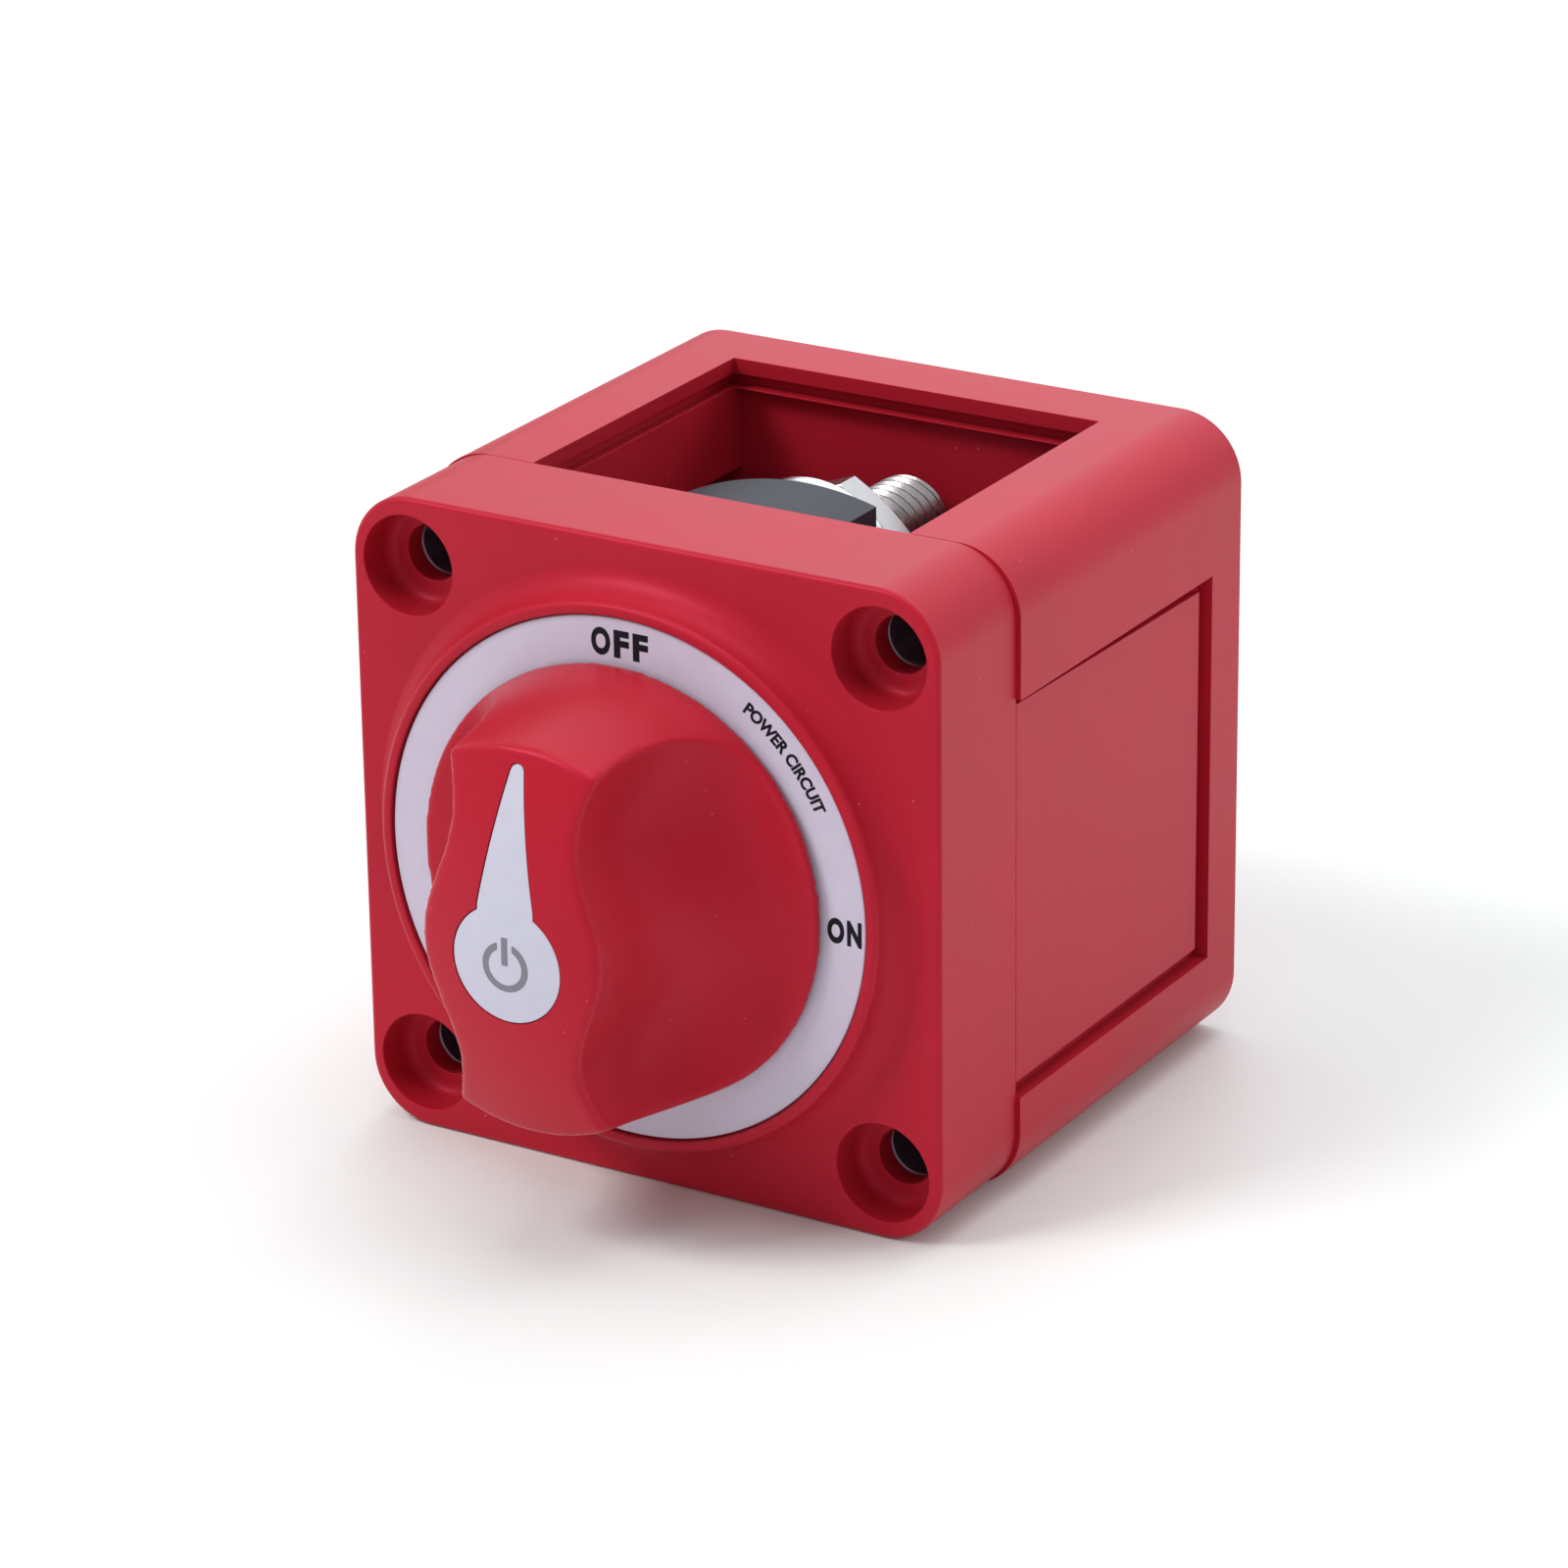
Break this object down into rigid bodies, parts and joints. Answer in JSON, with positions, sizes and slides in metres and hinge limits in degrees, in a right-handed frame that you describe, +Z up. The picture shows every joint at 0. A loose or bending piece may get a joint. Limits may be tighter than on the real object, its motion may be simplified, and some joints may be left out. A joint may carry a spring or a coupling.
{
  "type": "rotary battery switch",
  "caption": "Square panel-mounted rotary battery switch: finger-grip knob on a round dial, open-topped rear cover with slide-in side panels and threaded stud terminals.",
  "frame": {"origin": "on the knob's axis, in the flat back of the rear cover that rests on the mounting panel", "axes": "+X right seen from the front, +Y from the knob towards the mounting panel, +Z up with the pointer at OFF"},
  "size_m": [0.069, 0.0878, 0.069],
  "materials": {
    "red_plastic": "glass-filled nylon, moulded, fine satin texture",
    "dial_print": "printed polyester label, pale grey-white with near-black lettering",
    "pointer_print": "printed polyester inlay, pale grey-white with a grey power symbol",
    "grey_plastic": "glass-filled thermoset, dark grey, dull",
    "black_plastic": "moulded acetal, black",
    "stainless_steel": "turned and rolled stainless steel",
    "plated_steel": "zinc-plated steel",
    "blackened_steel": "steel, chemically blackened and oiled",
    "spindle_steel": "turned stainless steel",
    "spring_steel": "spring steel, lightly oiled",
    "contact_copper": "tin-plated copper, worn to copper at the tips",
    "seal_rubber": "nitrile rubber"
  },
  "bodies": {
    "case": {"base_screws": "plated_steel", "base_seal": "seal_rubber", "detent_plate": "spring_steel", "dial_label": "dial_print", "fixed_contact_a_in": "contact_copper", "fixed_contact_a_out": "contact_copper", "fixed_contact_b_in": "contact_copper", "fixed_contact_b_out": "contact_copper", "flat_washers": "stainless_steel", "front_housing": "red_plastic", "hole_sleeves": "blackened_steel", "lock_washers": "stainless_steel", "panel_bottom": "red_plastic", "panel_left": "red_plastic", "panel_right": "red_plastic", "rear_cover": "red_plastic", "terminal_base": "grey_plastic", "terminal_nuts": "stainless_steel", "terminal_studs": "stainless_steel"},
    "knob_group": {"knob": "red_plastic", "pointer_label": "pointer_print", "knob_screw": "plated_steel", "spindle": "spindle_steel", "spindle_seal": "seal_rubber", "detent_balls": "spring_steel", "detent_springs": "spring_steel", "rotor": "black_plastic", "contact_bridge_a": "contact_copper", "contact_bridge_b": "contact_copper", "contact_springs": "spring_steel"}
  },
  "joints": [
    {"name": "knob_turn", "type": "hinge", "parent": "case", "child": "knob_group", "pos_m": [0, 0, 0], "axis": [0, 1, 0], "range_deg": [0, 90]}
  ]
}
